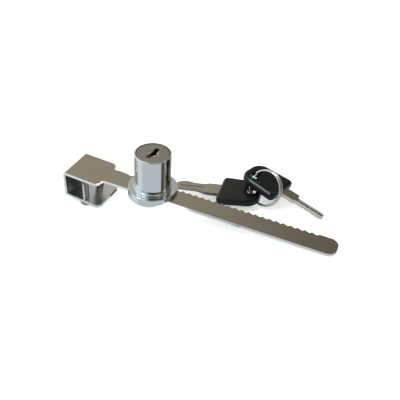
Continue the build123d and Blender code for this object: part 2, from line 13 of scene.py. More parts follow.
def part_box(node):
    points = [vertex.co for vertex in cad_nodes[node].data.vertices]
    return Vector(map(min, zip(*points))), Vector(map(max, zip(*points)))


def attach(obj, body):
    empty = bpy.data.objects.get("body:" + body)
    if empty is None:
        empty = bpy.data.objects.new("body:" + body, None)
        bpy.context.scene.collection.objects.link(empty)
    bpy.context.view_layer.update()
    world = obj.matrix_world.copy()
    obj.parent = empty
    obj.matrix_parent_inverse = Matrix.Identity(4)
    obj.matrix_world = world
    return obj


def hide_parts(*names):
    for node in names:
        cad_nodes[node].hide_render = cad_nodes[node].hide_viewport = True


bl_info = {
    "name": "Ratchet Showcase Lock",
    "version": (1, 0, 0),
    "blender": (4, 5, 0),
    "location": "View3D > Sidebar > Showcase Lock",
    "description": "Builds the looks of a sliding glass door ratchet lock around its CAD frame",
    "category": "Object",
}

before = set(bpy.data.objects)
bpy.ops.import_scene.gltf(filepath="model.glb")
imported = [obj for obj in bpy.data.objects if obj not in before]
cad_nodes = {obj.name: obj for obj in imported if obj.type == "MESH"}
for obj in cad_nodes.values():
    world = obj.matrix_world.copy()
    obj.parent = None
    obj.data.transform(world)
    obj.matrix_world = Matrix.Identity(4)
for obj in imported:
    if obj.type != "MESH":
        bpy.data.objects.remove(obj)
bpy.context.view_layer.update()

MM = 0.001


# Sizes and colours that a user would change

def colour(name, description, default):
    """A colour property with the usual limits."""
    return FloatVectorProperty(
        name=name, description=description, subtype="COLOR", size=3, min=0.0, max=1.0, default=default
    )


def metres(name, description, default):
    """A length property, with its default in metres."""
    return FloatProperty(
        name=name, description=description, subtype="DISTANCE", unit="LENGTH", default=default
    )


class LockFinishSettings(bpy.types.PropertyGroup):
    """Colours and sheen of the lock's finishes"""

    nickel: colour("Nickel", "Flat faces of the nickel-plated strip", (0.51, 0.46, 0.385))
    sheared: colour("Sheared edge", "Bright sheared edges of the strip", (0.86, 0.85, 0.83))
    # Inside is no plating: a brighter, cooler colour painted inside the hook and on undersides as reflected
    # light
    inside: colour("Inside", "Cooler plating on the undersides and inside the hook", (0.80, 0.81, 0.82))
    chrome: colour("Chrome", "Chrome plating of the lock body", (0.80, 0.815, 0.83))
    plug: colour("Plug", "Satin face of the plug", (0.43, 0.40, 0.352))
    zinc: colour("Zinc", "Zinc-plated screws and pin", (0.66, 0.665, 0.67))
    # Thread: the zinc darkened as painted shade, for the screws that stand in the hook's shade
    thread: colour("Thread", "Dark rolled threads of the clamp screws", (0.40, 0.385, 0.365))
    spring: colour("Spring steel", "Springs and clip", (0.42, 0.42, 0.43))
    brass: colour("Brass", "Stamped wafers", (0.72, 0.54, 0.27))
    rubber: colour("Soft tip", "Buttons on the clamp screws", (0.018, 0.018, 0.018))
    key_steel: colour("Key blank", "Nickel-plated key blades", (0.50, 0.47, 0.42))
    plastic: colour("Key head", "Moulded key heads", (0.0035, 0.0042, 0.0040))
    ring: colour("Ring", "Bright wire of the split ring", (0.78, 0.775, 0.76))
    grain: FloatProperty(
        name="Grain", description="How far the rolling grain darkens the metal",
        default=0.35, min=0.0, max=1.0,
    )
    wear: FloatProperty(
        name="Edge wear", description="How far edges are rubbed bright", default=0.5, min=0.0, max=1.0
    )


class LockStageSettings(bpy.types.PropertyGroup):
    """Light and floor"""

    floor_height: metres("Floor height", "Height of the floor under the barrel", -0.01107)
    floor_slope: FloatProperty(
        name="Floor slope", description="Rise of the floor towards the bar's tip, which lies on it",
        subtype="ANGLE", unit="ROTATION", default=radians(6.98),
    )
    key_light: FloatProperty(name="Key light", description="Power of the large lamp", default=2.2, min=0.0)
    ambient: FloatProperty(name="Ambient", description="Strength of the world's light", default=0.62, min=0.0)
    floor_glow: FloatProperty(name="Floor glow", description="The floor's own light", default=0.47, min=0.0)


class LockPartSettings(bpy.types.PropertyGroup):
    """Sizes of the pieces that are modelled here"""

    thread_pitch: metres("Thread pitch", "Pitch of the clamp screws' thread", 0.0007)
    thread_depth: metres("Thread depth", "Depth of the clamp screws' thread", 0.00038)
    edge_round: metres("Edge rounding", "Radius at which edges catch the light", 0.00016)


# Shader node groups shared by several finishes

# Hairlines show where their noise is over the floor. The contrasts are how steeply they and edges show
HAIRLINE_FLOOR, HAIRLINE_CONTRAST, EDGE_CONTRAST = 0.66, 9.0, 6.0
# What metal's base colour is multiplied by in the grain's lines and on rubbed edges
GRAIN_SHADE, EDGE_SHADE = 0.78, 1.35
SCRATCH_ROUGHNESS = 0.12
FLOAT, VECTOR = "NodeSocketFloat", "NodeSocketVector"


def new_group(name, inputs, outputs):
    """A shader group with inputs as (name, type, default); returns it with its input and output nodes."""
    group = bpy.data.node_groups.new(name, "ShaderNodeTree")
    for label, kind, default in inputs:
        socket = group.interface.new_socket(label, in_out="INPUT", socket_type=kind)
        socket.default_value = default
    for label, kind in outputs:
        group.interface.new_socket(label, in_out="OUTPUT", socket_type=kind)
    return group, group.nodes.new("NodeGroupInput"), group.nodes.new("NodeGroupOutput")


def feed(tree, socket, value):
    """Links an input to another socket, or sets it to a value."""
    if isinstance(value, bpy.types.NodeSocket):
        tree.links.new(value, socket)
    else:
        socket.default_value = value


def calculate(tree, kind, operation, values):
    """A Math or Vector Math node whose inputs are sockets or values; returns the node."""
    node = tree.nodes.new(kind)
    node.operation = operation
    for socket, value in zip(node.inputs, values):
        feed(tree, socket, value)
    return node


def maths(tree, operation, *values, clamp=False):
    """The result of a Math node on sockets or numbers."""
    node = calculate(tree, "ShaderNodeMath", operation, values)
    node.use_clamp = clamp
    return node.outputs[0]


def vector_maths(tree, operation, *values):
    """The result of a Vector Math node on sockets or triples."""
    node = calculate(tree, "ShaderNodeVectorMath", operation, values)
    return node.outputs["Value" if operation in ("DOT_PRODUCT", "LENGTH") else "Vector"]


def own_place(tree):
    """The place on a surface, in the object's own metres."""
    return tree.nodes.new("ShaderNodeTexCoord").outputs["Object"]


def noise(tree, vector, scale, detail=3.0, roughness=0.55):
    """A noise texture on a vector; returns its value."""
    node = tree.nodes.new("ShaderNodeTexNoise")
    tree.links.new(vector, node.inputs["Vector"])
    feed(tree, node.inputs["Scale"], scale)
    node.inputs["Detail"].default_value = detail
    node.inputs["Roughness"].default_value = roughness
    return node.outputs["Fac"]


def grain_group():
    """Fine lines along one direction, and slow mottling, both from 0 to 1."""
    group, source, sink = new_group(
        "RollingGrain",
        [("Stretch", VECTOR, (60.0, 1200.0, 1200.0)), ("Mottle Scale", FLOAT, 120.0)],
        [("Lines", FLOAT), ("Mottle", FLOAT)],
    )
    place = own_place(group)
    scaled = vector_maths(group, "MULTIPLY", place, source.outputs["Stretch"])
    group.links.new(noise(group, scaled, 1.0, 4.0, 0.65), sink.inputs["Lines"])
    group.links.new(noise(group, place, source.outputs["Mottle Scale"]), sink.inputs["Mottle"])
    return group


def scratch_group():
    """Sparse hairline scratches in two directions, 0 to 1."""
    group, source, sink = new_group(
        "Hairlines", [("Scale", FLOAT, 900.0), ("Density", FLOAT, 0.5)],
        [("Scratches", FLOAT)],
    )
    place = own_place(group)
    masks = []
    for turn, squeeze in ((0.5, (0.04, 1.0, 1.0)), (-0.9, (1.0, 0.05, 1.0))):
        mapping = group.nodes.new("ShaderNodeMapping")
        mapping.inputs["Rotation"].default_value = (0.3 * turn, 0.2, turn)
        mapping.inputs["Scale"].default_value = squeeze
        group.links.new(place, mapping.inputs["Vector"])
        lines = noise(group, mapping.outputs[0], source.outputs["Scale"], 2.0, 0.5)
        above = maths(group, "SUBTRACT", lines, HAIRLINE_FLOOR)
        masks.append(maths(group, "MULTIPLY", above, HAIRLINE_CONTRAST, clamp=True))
    both = maths(group, "MAXIMUM", masks[0], masks[1])
    group.links.new(maths(group, "MULTIPLY", both, source.outputs["Density"]), sink.inputs["Scratches"])
    return group


def edge_group():
    """Where a surface turns a corner, 0 to 1, and the softened normal that such a corner has."""
    group, source, sink = new_group(
        "RoundedEdges", [("Radius", FLOAT, 0.00016)],
        [("Edge", FLOAT), ("Normal", VECTOR)],
    )
    bevel = group.nodes.new("ShaderNodeBevel")
    bevel.samples = 6
    group.links.new(source.outputs["Radius"], bevel.inputs["Radius"])
    geometry = group.nodes.new("ShaderNodeNewGeometry")
    alike = vector_maths(group, "DOT_PRODUCT", bevel.outputs[0], geometry.outputs["Normal"])
    turned = maths(group, "SUBTRACT", 1.0, alike)
    group.links.new(maths(group, "MULTIPLY", turned, EDGE_CONTRAST, clamp=True), sink.inputs["Edge"])
    group.links.new(bevel.outputs[0], sink.inputs["Normal"])
    return group


GROUP_MAKERS = {"grain": grain_group, "scratch": scratch_group, "edge": edge_group}
GROUPS = {}


def place_group(tree, name, **values):
    """A shared group's node in a material, with its inputs set; the group is made the first time."""
    if name not in GROUPS:
        GROUPS[name] = GROUP_MAKERS[name]()
    node = tree.nodes.new("ShaderNodeGroup")
    node.node_tree = GROUPS[name]
    for label, value in values.items():
        node.inputs[label.replace("_", " ")].default_value = value
    return node


def blank_material(name):
    """A material with an empty Principled shader; returns (material, tree, shader)."""
    material = bpy.data.materials.new(name)
    material.use_nodes = True
    tree = material.node_tree
    shader = tree.nodes["Principled BSDF"]
    return material, tree, shader


def mix_colour(tree, factor, first, second):
    """Mixes two colours, each a socket or an RGB triple; returns the colour socket."""
    node = tree.nodes.new("ShaderNodeMix")
    node.data_type = "RGBA"
    tree.links.new(factor, node.inputs["Factor"])
    for label, value in (("A", first), ("B", second)):
        socket = [s for s in node.inputs if s.name == label and s.type == "RGBA"][0]
        feed(tree, socket, value if isinstance(value, bpy.types.NodeSocket) else (*value, 1.0))
    return [s for s in node.outputs if s.type == "RGBA"][0]


def spread(tree, value, low, high):
    """A value of 0 to 1 spread between two numbers."""
    return maths(tree, "ADD", maths(tree, "MULTIPLY", value, high - low), low)


def shade(base, factor):
    """A colour made darker or lighter."""
    return tuple(min(1.0, channel * factor) for channel in base)


def ramp_between(tree, value, low, high):
    """A smooth step from 0 at one value to 1 at another."""
    step = tree.nodes.new("ShaderNodeMapRange")
    step.interpolation_type = "SMOOTHSTEP"
    step.inputs["From Min"].default_value = low
    step.inputs["From Max"].default_value = high
    tree.links.new(value, step.inputs["Value"])
    return step.outputs[0]


def axes_of(tree, coordinate):
    """The X, Y and Z of a texture coordinate, such as Object or Normal, as sockets by name."""
    place = tree.nodes.new("ShaderNodeTexCoord")
    split = tree.nodes.new("ShaderNodeSeparateXYZ")
    tree.links.new(place.outputs[coordinate], split.inputs[0])
    return split.outputs


def barrel_distance(tree):
    """Distance from the barrel's axis, as a socket."""
    return vector_maths(tree, "LENGTH", vector_maths(tree, "MULTIPLY", own_place(tree), (1.0, 1.0, 0.0)))


def repaint(tree, shader, mask, tone):
    """Gives a shader another base colour where a mask is 1."""
    faces = shader.inputs["Base Color"].links[0].from_socket
    tree.links.new(mix_colour(tree, mask, faces, tone), shader.inputs["Base Color"])


def add_relief(tree, shader, height, strength, depth, normal=None):
    """Gives a shader fine relief over a given normal: its height from 0 to 1, strength, and depth in mm."""
    relief = tree.nodes.new("ShaderNodeBump")
    relief.inputs["Strength"].default_value = strength
    relief.inputs["Distance"].default_value = depth * MM
    tree.links.new(height, relief.inputs["Height"])
    if normal is not None:
        tree.links.new(normal, relief.inputs["Normal"])
    tree.links.new(relief.outputs[0], shader.inputs["Normal"])


# Finishes

def metal(name, base, rough=(0.2, 0.3), stretch=(60.0, 1200.0, 1200.0), mottle=140.0, bump=0.02, edge=None,
          scratches=0.3, variation=0.12):
    """Plated metal with grain, mottling, hairlines and rubbed edges; the relief's depth is in mm."""
    finish = bpy.context.scene.lock_finish
    material, tree, shader = blank_material(name)
    grain = place_group(tree, "grain", Stretch=stretch, Mottle_Scale=mottle)
    hairs = place_group(tree, "scratch", Scale=700.0, Density=scratches)
    corner = place_group(tree, "edge", Radius=bpy.context.scene.lock_parts.edge_round)
    toned = mix_colour(tree, grain.outputs["Mottle"], shade(base, 1 - variation), shade(base, 1 + variation))
    lines = maths(tree, "MULTIPLY", grain.outputs["Lines"], finish.grain)
    lined = mix_colour(tree, lines, toned, shade(base, GRAIN_SHADE))
    wear_and_highlight = maths(tree, "MULTIPLY", corner.outputs["Edge"], finish.wear)
    worn = mix_colour(tree, wear_and_highlight, lined, edge or shade(base, EDGE_SHADE))
    tree.links.new(worn, shader.inputs["Base Color"])
    uneven = spread(tree, grain.outputs["Lines"], rough[0], rough[1])
    scratched = maths(tree, "MULTIPLY", hairs.outputs["Scratches"], SCRATCH_ROUGHNESS)
    tree.links.new(maths(tree, "ADD", uneven, scratched, clamp=True), shader.inputs["Roughness"])
    shader.inputs["Metallic"].default_value = 1.0
    height = maths(tree, "SUBTRACT", grain.outputs["Lines"], hairs.outputs["Scratches"])
    add_relief(tree, shader, height, 1.0, bump, corner.outputs["Normal"])
    return material, tree, shader


def strip_steel():
    """Nickel-plated strip: warm grey upper faces, bright sheared edges, painted reflected light inside the
    hook and on undersides, painted shade on the hook's web.
    """
    finish = bpy.context.scene.lock_finish
    material, tree, shader = metal(
        "nickel_strip", finish.nickel, rough=(0.17, 0.25), stretch=(40.0, 1500.0, 1500.0), mottle=60.0,
        bump=0.0018, scratches=0.16, variation=0.05,
    )
    # Painted reflected light inside the hook and on undersides
    paint_inside_light(tree, shader, finish.inside)
    tone_sides(tree, shader, finish.sheared)
    # Painted shade on the hook's web: the inside tone darkened
    paint_web_shade(tree, shader, shade(finish.inside, 0.3))
    return material


# A face is flat where its normal's Z is beyond this, and a side where it isn't
FLAT_FACE = 0.6
# The hook's bend lies before this X, and its inner face, which gets painted shade, has a normal with more
# than this X
WEB_EDGE = -45.0 * MM
WEB_FACE = 0.3


def paint_inside_light(tree, shader, tone):
    """Paints light on the strip's undersides and the inside of its hook: a brighter, cooler colour than its
    upper faces, standing in for reflected light.
    """
    below = maths(tree, "LESS_THAN", axes_of(tree, "Object")["Z"], 0.0)
    underside = maths(tree, "LESS_THAN", axes_of(tree, "Normal")["Z"], -FLAT_FACE)
    repaint(tree, shader, maths(tree, "MAXIMUM", below, underside), tone)


def paint_web_shade(tree, shader, tone):
    """Paints shade on the inner face of the hook's web, which looks towards the bar's tip: a darker colour.
    """
    bend = maths(tree, "LESS_THAN", axes_of(tree, "Object")["X"], WEB_EDGE)
    inward = maths(tree, "GREATER_THAN", axes_of(tree, "Normal")["X"], WEB_FACE)
    repaint(tree, shader, maths(tree, "MULTIPLY", bend, inward), tone)


def tone_sides(tree, shader, tone, dullness=0.0):
    """Gives the upright sides of a flat piece another colour than its faces, and adds to their roughness."""
    flatness = maths(tree, "ABSOLUTE", axes_of(tree, "Normal")["Z"])
    upright = maths(tree, "LESS_THAN", flatness, FLAT_FACE)
    repaint(tree, shader, upright, tone)
    smooth = shader.inputs["Roughness"].links[0].from_socket
    rougher = maths(tree, "MULTIPLY", upright, dullness)
    tree.links.new(maths(tree, "ADD", smooth, rougher, clamp=True), shader.inputs["Roughness"])


def moulded_plastic():
    """Black moulded plastic with a fine spark-eroded texture and slightly polished high spots."""
    finish = bpy.context.scene.lock_finish
    material, tree, shader = blank_material("moulded_black_plastic")
    fine = noise(tree, own_place(tree), 5200.0, 2.0, 0.6)
    slow = noise(tree, own_place(tree), 260.0, 3.0, 0.5)
    corner = place_group(tree, "edge", Radius=bpy.context.scene.lock_parts.edge_round * 1.6)
    tone = mix_colour(tree, slow, shade(finish.plastic, 0.75), shade(finish.plastic, 1.3))
    polished = maths(tree, "MULTIPLY", corner.outputs["Edge"], 0.5)
    tree.links.new(mix_colour(tree, polished, tone, shade(finish.plastic, 3.0)), shader.inputs["Base Color"])
    tree.links.new(spread(tree, slow, 0.17, 0.26), shader.inputs["Roughness"])
    shader.inputs["Specular IOR Level"].default_value = 0.36
    add_relief(tree, shader, fine, 0.5, 0.008, corner.outputs["Normal"])
    return material


def soft_rubber():
    """Matt black rubber with a dusty bloom."""
    finish = bpy.context.scene.lock_finish
    material, tree, shader = blank_material("soft_button")
    bloom = noise(tree, own_place(tree), 900.0, 4.0, 0.6)
    dusty = mix_colour(tree, bloom, finish.rubber, shade(finish.rubber, 2.2))
    tree.links.new(dusty, shader.inputs["Base Color"])
    tree.links.new(spread(tree, bloom, 0.55, 0.75), shader.inputs["Roughness"])
    add_relief(tree, shader, bloom, 0.4, 0.01)
    return material


# Modelling helpers

# Angles up to which faces shade as one, and the angle beyond which a key's edge is rounded
PLUG_SMOOTH, SCREW_SMOOTH, KEY_SMOOTH, KEY_SHARP = radians(22), radians(35), radians(38), radians(32)


def dress(node_names, material):
    """Gives CAD nodes one material in place of their plain one."""
    for name in node_names:
        data = cad_nodes[name].data
        data.materials.clear()
        data.materials.append(material)


def deselect():
    """Nothing selected, in object mode."""
    if bpy.context.object and bpy.context.object.mode != "OBJECT":
        bpy.ops.object.mode_set(mode="OBJECT")
    bpy.ops.object.select_all(action="DESELECT")


def activate(piece):
    """One piece selected and active, in object mode."""
    deselect()
    piece.select_set(True)
    bpy.context.view_layer.objects.active = piece


def settle(piece):
    """Bakes a piece's place into its mesh, so its object sits at the origin."""
    activate(piece)
    bpy.ops.object.transform_apply(location=True, rotation=True, scale=True)


def apply_modifiers(piece):
    """Applies every modifier of a piece, in order."""
    activate(piece)
    for modifier in list(piece.modifiers):
        bpy.ops.object.modifier_apply(modifier=modifier.name)


def select_faces(piece, wanted):
    """Selects a piece's faces by a test of their centre and normal, in face mode."""
    bpy.ops.mesh.select_mode(type="FACE")
    bpy.ops.mesh.select_all(action="DESELECT")
    mesh = bmesh.from_edit_mesh(piece.data)
    for face in mesh.faces:
        face.select_set(wanted(face.calc_center_median(), face.normal))
    bmesh.update_edit_mesh(piece.data)


def select_edges(piece, wanted):
    """Selects a piece's edges by a test of their two ends, in edge mode."""
    bpy.ops.mesh.select_mode(type="EDGE")
    bpy.ops.mesh.select_all(action="DESELECT")
    mesh = bmesh.from_edit_mesh(piece.data)
    for edge in mesh.edges:
        edge.select_set(wanted(edge.verts[0].co, edge.verts[1].co))
    bmesh.update_edit_mesh(piece.data)


def extrude(height):
    """Extrudes what is selected along Z, in edit mode."""
    bpy.ops.mesh.extrude_region_move(TRANSFORM_OT_translate={"value": (0, 0, height)})


def face_outwards():
    """Turns every face outwards, in edit mode."""
    bpy.ops.mesh.select_all(action="SELECT")
    bpy.ops.mesh.normals_make_consistent(inside=False)


def thicken(height):
    """Makes the active flat outline a solid of a height along Z, and stays in edit mode."""
    bpy.ops.object.mode_set(mode="EDIT")
    bpy.ops.mesh.select_all(action="SELECT")
    extrude(height)
    face_outwards()


def cut_away(piece, cutter):
    """Cuts a piece with another, which is then deleted."""
    cut = piece.modifiers.new("cut", "BOOLEAN")
    cut.operation = "DIFFERENCE"
    cut.object = cutter
    apply_modifiers(piece)
    bpy.data.objects.remove(cutter)


def block(middle, size, turn=0.0):
    """A block with its middle at a place, turned about Z, to cut with."""
    deselect()
    bpy.ops.mesh.primitive_cube_add(size=1, location=middle)
    piece = bpy.context.object
    piece.scale = size
    piece.rotation_euler = (0, 0, turn)
    settle(piece)
    return piece


# Pieces

class LOCK_OT_ratchet_bar(bpy.types.Operator):
    """Dress the saw-toothed strip and its glass hook"""

    bl_idname = "lock.ratchet_bar"
    bl_label = "Ratchet Bar"

    def execute(self, context):
        dress(["ratchet_bar"], strip_steel())
        return {"FINISHED"}


class LOCK_OT_lock_body(bpy.types.Operator):
    """Dress the chrome lock body, its base plate, screws and stop pin"""

    bl_idname = "lock.lock_body"
    bl_label = "Lock Body"

    def execute(self, context):
        finish = context.scene.lock_finish
        chrome, tree, shader = metal(
            "bright_chrome", finish.chrome, rough=(0.035, 0.075), stretch=(300.0, 300.0, 300.0), mottle=90.0,
            bump=0.0012, scratches=0.10, variation=0.03, edge=(0.9, 0.91, 0.92),
        )
        # Painted shade on the wall inside the barrel's rim
        paint_counterbore_shade(tree, shader)
        dress(["lock_housing"], chrome)
        dress(["base_plate"], metal("base_plate_steel", finish.zinc, rough=(0.22, 0.34), bump=0.004)[0])
        dress(["base_screws", "turn_stop_pin"], metal("zinc_screws", finish.zinc, bump=0.004)[0])
        return {"FINISHED"}


# Dish round the keyway: its radius, its depth, how wide its sloping wall is, and the tone of the highlight
# painted on the wall
DISH_RADIUS, DISH_DEPTH, DISH_WALL, DISH_HIGHLIGHT = 2.9 * MM, 0.45 * MM, 0.8 * MM, (0.88, 0.87, 0.84)
# How far before the wall's foot the painted highlight starts, before its top it fades, and beyond its top it
# ends
HIGHLIGHT_START, HIGHLIGHT_FADE, HIGHLIGHT_END = 0.3 * MM, 0.15 * MM, 0.25 * MM
# Notches on both sides of the keyway in mm: (left, front), (right, back)
KEYWAY_NOTCHES = (((1.0, -0.6), (2.05, 1.0)), ((-2.3, -1.75), (-1.0, -0.7)))
NOTCH_DEPTH = 1.9 * MM
# The wall inside the barrel's rim, which gets painted shade, lies within this radius and above this height
COUNTERBORE_RADIUS, COUNTERBORE_FLOOR = 8.75 * MM, 20.0 * MM


def paint_dish_highlight(tree, shader):
    """Paints a highlight on the wall of the dish round the keyway: a brighter colour on its slope."""
    reach = barrel_distance(tree)
    foot = DISH_RADIUS - DISH_WALL
    outside = ramp_between(tree, reach, DISH_RADIUS - HIGHLIGHT_FADE, DISH_RADIUS + HIGHLIGHT_END)
    inside = ramp_between(tree, reach, foot - HIGHLIGHT_START, foot)
    wear_and_highlight = maths(tree, "MULTIPLY", inside, maths(tree, "SUBTRACT", 1.0, outside))
    # Painted highlight: a brighter colour on the dish's sloping wall
    repaint(tree, shader, wear_and_highlight, DISH_HIGHLIGHT)


def dished_plug():
    """The plug with a sloping dish round the keyway and notches beside it, in its CAD node's place."""
    source = cad_nodes["plug"]
    plug = source.copy()
    plug.data = source.data.copy()
    plug.name = "dished_plug"
    bpy.context.collection.objects.link(plug)
    activate(plug)
    bpy.ops.object.mode_set(mode="EDIT")
    bpy.ops.mesh.select_all(action="SELECT")
    bpy.ops.mesh.remove_doubles(threshold=1e-7)
    bpy.ops.object.mode_set(mode="OBJECT")
    bpy.ops.mesh.customdata_custom_splitnormals_clear()
    face_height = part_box("plug")[1].z
    rise = 0.2 * MM
    depth = DISH_DEPTH + rise
    bpy.ops.mesh.primitive_cone_add(
        vertices=72, radius1=DISH_RADIUS - DISH_WALL, radius2=DISH_RADIUS + rise * DISH_WALL / DISH_DEPTH,
        depth=depth, location=(0, 0, face_height - DISH_DEPTH + depth / 2),
    )
    cutter = bpy.context.object
    settle(cutter)
    cut_away(plug, cutter)
    for (left, front), (right, back) in KEYWAY_NOTCHES:
        middle = ((left + right) / 2 * MM, (front + back) / 2 * MM, face_height)
        cut_away(plug, block(middle, ((right - left) * MM, (back - front) * MM, 2 * NOTCH_DEPTH)))
    activate(plug)
    bpy.ops.object.shade_smooth_by_angle(angle=PLUG_SMOOTH)
    return plug


def paint_counterbore_shade(tree, shader):
    """Paints shade on the wall inside the barrel's rim: a dark copy of the chrome."""
    inside = maths(tree, "LESS_THAN", barrel_distance(tree), COUNTERBORE_RADIUS)
    top = maths(tree, "GREATER_THAN", axes_of(tree, "Object")["Z"], COUNTERBORE_FLOOR)
    # Painted shade: the chrome darkened inside the rim
    counterbore_shade = shade(bpy.context.scene.lock_finish.chrome, 0.16)
    repaint(tree, shader, maths(tree, "MULTIPLY", inside, top), counterbore_shade)


class LOCK_OT_plug(bpy.types.Operator):
    """Dress the plug, its wafers, springs, clip and the pawl"""

    bl_idname = "lock.plug"
    bl_label = "Plug and Works"

    def execute(self, context):
        finish = context.scene.lock_finish
        face, tree, shader = metal(
            "satin_plug", finish.plug, stretch=(500.0, 500.0, 500.0), mottle=220.0,
            bump=0.002, scratches=0.2, variation=0.05,
        )
        # Painted highlight on the wall of the keyway's dish
        paint_dish_highlight(tree, shader)
        plug = dished_plug()
        plug.data.materials.clear()
        plug.data.materials.append(face)
        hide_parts("plug")
        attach(plug, "plug")
        wafers = [name for name in cad_nodes if name.startswith("wafer_") and "spring" not in name]
        springs = [name for name in cad_nodes if "spring" in name]
        dress(wafers, metal("stamped_brass", finish.brass, rough=(0.2, 0.32), bump=0.004)[0])
        steel = metal("spring_steel", finish.spring, rough=(0.22, 0.3), bump=0.003)[0]
        dress(springs + ["retaining_clip"], steel)
        sintered = metal("sintered_pawl", shade(finish.zinc, 0.7), rough=(0.32, 0.45), bump=0.01)[0]
        dress(["pawl"], sintered)
        return {"FINISHED"}


# Clamp screws, as the CAD ones are, and the share of their heads' height that is domed
SCREW_RADIUS, SCREW_HEAD_RADIUS, SCREW_HEAD_HEIGHT, SCREW_DOME = 2.0 * MM, 3.1 * MM, 2.0 * MM, 0.45
# One arm of the cross recess: length, width and twice its depth
RECESS_ARM = (3.7 * MM, 0.75 * MM, 2.0 * MM)
# The thread's ridge: how far it reaches into the core, half its foot and its start as shares of the pitch,
# and the faces to a turn
RIDGE_SINK, RIDGE_HALF_FOOT, RIDGE_START, RIDGE_FACES = 0.02 * MM, 0.36, 0.6, 28


def thread_ridge(middle, bottom, top, radius, depth, pitch):
    """A helical ridge of triangular section about +Z, closed at both ends."""
    deselect()
    bpy.ops.mesh.primitive_circle_add(vertices=3, radius=depth, fill_type="NOTHING")
    ridge = bpy.context.object
    foot = radius - depth - RIDGE_SINK
    corners = ((radius, 0.0), (foot, RIDGE_HALF_FOOT * pitch), (foot, -RIDGE_HALF_FOOT * pitch))
    for vertex, (out, up) in zip(ridge.data.vertices, corners):
        vertex.co = (out, 0.0, up)
    screw = ridge.modifiers.new("thread", "SCREW")
    screw.axis = "Z"
    screw.screw_offset = pitch
    screw.iterations = int((top - bottom) / pitch) - 1
    screw.steps = RIDGE_FACES
    screw.render_steps = RIDGE_FACES
    apply_modifiers(ridge)
    bpy.ops.object.mode_set(mode="EDIT")
    bpy.ops.mesh.select_all(action="SELECT")
    bpy.ops.mesh.remove_doubles(threshold=1e-6)
    bpy.ops.mesh.select_all(action="DESELECT")
    bpy.ops.mesh.select_non_manifold()
    bpy.ops.mesh.fill_holes(sides=4)
    face_outwards()
    bpy.ops.object.mode_set(mode="OBJECT")
    ridge.location = (middle.x, middle.y, bottom + RIDGE_START * pitch)
    settle(ridge)
    return ridge


def threaded_screw(name, node):
    """A clamp screw with a rolled thread, a domed head and a cross recess, in its CAD node's place."""
    parts = bpy.context.scene.lock_parts
    low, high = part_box(node)
    middle = (low + high) / 2
    head_top = low.z + SCREW_HEAD_HEIGHT
    core_radius = SCREW_RADIUS - parts.thread_depth
    deselect()
    bpy.ops.mesh.primitive_cylinder_add(
        vertices=48, radius=SCREW_HEAD_RADIUS, depth=SCREW_HEAD_HEIGHT,
        location=(middle.x, middle.y, low.z + SCREW_HEAD_HEIGHT / 2),
    )
    screw = bpy.context.object
    screw.name = name
    settle(screw)
    bpy.ops.object.mode_set(mode="EDIT")
    select_faces(screw, lambda centre, normal: normal.z > 0.9)
    bpy.ops.mesh.inset(thickness=SCREW_HEAD_RADIUS - core_radius, depth=0)
    extrude(high.z - head_top)
    select_edges(
        screw,
        lambda a, b: max(a.z, b.z) < low.z + 0.01 * MM
        and min((a.xy - middle.xy).length, (b.xy - middle.xy).length) > 0.9 * SCREW_HEAD_RADIUS,
    )
    bpy.ops.mesh.bevel(offset=SCREW_HEAD_HEIGHT * SCREW_DOME, segments=6, profile=0.55)
    bpy.ops.object.mode_set(mode="OBJECT")
    for turn in (0, 90):
        cut_away(screw, block((middle.x, middle.y, low.z), RECESS_ARM, radians(turn)))
    ridge = thread_ridge(middle, head_top, high.z, SCREW_RADIUS, parts.thread_depth, parts.thread_pitch)
    activate(screw)
    ridge.select_set(True)
    bpy.ops.object.join()
    bpy.ops.object.shade_smooth_by_angle(angle=SCREW_SMOOTH)
    return screw


class LOCK_OT_clamps(bpy.types.Operator):
    """Model the threaded clamp screws and dress their soft tips"""

    bl_idname = "lock.clamps"
    bl_label = "Clamp Screws"

    def execute(self, context):
        finish = context.scene.lock_finish
        # Painted shade: the threads take a darkened copy of the zinc
        steel = metal("rolled_thread", finish.thread, rough=(0.12, 0.22), bump=0.003, scratches=0.2)[0]
        for side in ("front", "rear"):
            node = f"{side}_clamp_screw"
            screw = threaded_screw(f"{side}_threaded_screw", node)
            screw.data.materials.append(steel)
            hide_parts(node)
            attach(screw, node)
        dress(["front_clamp_tip", "rear_clamp_tip"], soft_rubber())
        return {"FINISHED"}


# Centre of each head's blade end in mm, the blade's way, and the way that its upper face looks
KEY_PLACES = {
    "a": ((30.14212, 20.47, -1.85792), (-0.98221, -0.13908, -0.12618), (-0.12671, -0.0051, 0.99193)),
    "b": ((62.6685, 27.05, 4.46606), (0.95462, -0.2788, -0.10472), (0.12842, 0.06808, 0.98938)),
}
# Outlines of the cut blades in mm: along the blade, then its two edges
BLADE_OUTLINES = {
    "a": (
        (-1.0, -4.2, 4.2), (6.9, -4.2, 4.2), (8.0, -3.5, 4.0), (9.5, -3.3, 3.4), (11.5, -3.2, 2.5),
        (14.0, -3.2, 2.1), (15.6, -3.3, 2.2), (17.2, -3.9, 2.0), (18.6, -4.2, 2.3), (21.0, -4.2, 2.2),
        (22.8, -3.8, 2.3), (24.2, -2.9, 1.7), (25.0, -1.8, 0.8),
    ),
    "b": (
        (-1.0, -2.8, 3.9), (8.2, -2.8, 3.9), (8.5, -1.9, 2.0), (9.4, -1.8, 1.3), (11.0, -1.5, 1.2),
        (12.5, -1.9, 1.2), (14.2, -1.5, 1.2), (16.0, -1.9, 1.2), (17.8, -1.5, 1.2), (19.5, -1.9, 1.2),
        (21.2, -1.6, 1.2), (22.8, -1.9, 1.2), (24.2, -1.6, 1.0), (25.0, -0.9, 0.5),
    ),
}
# Milled grooves in mm: their two edges across the blade, how far past the neck they start, and their depth
BLADE_GROOVES = {"a": (-0.5, 0.3), "b": (-0.1, 0.5)}
GROOVE_START, GROOVE_DEPTH = 1.0, 0.4
BLADE_THICKNESS, BLADE_ROUND = 2.1, 0.14
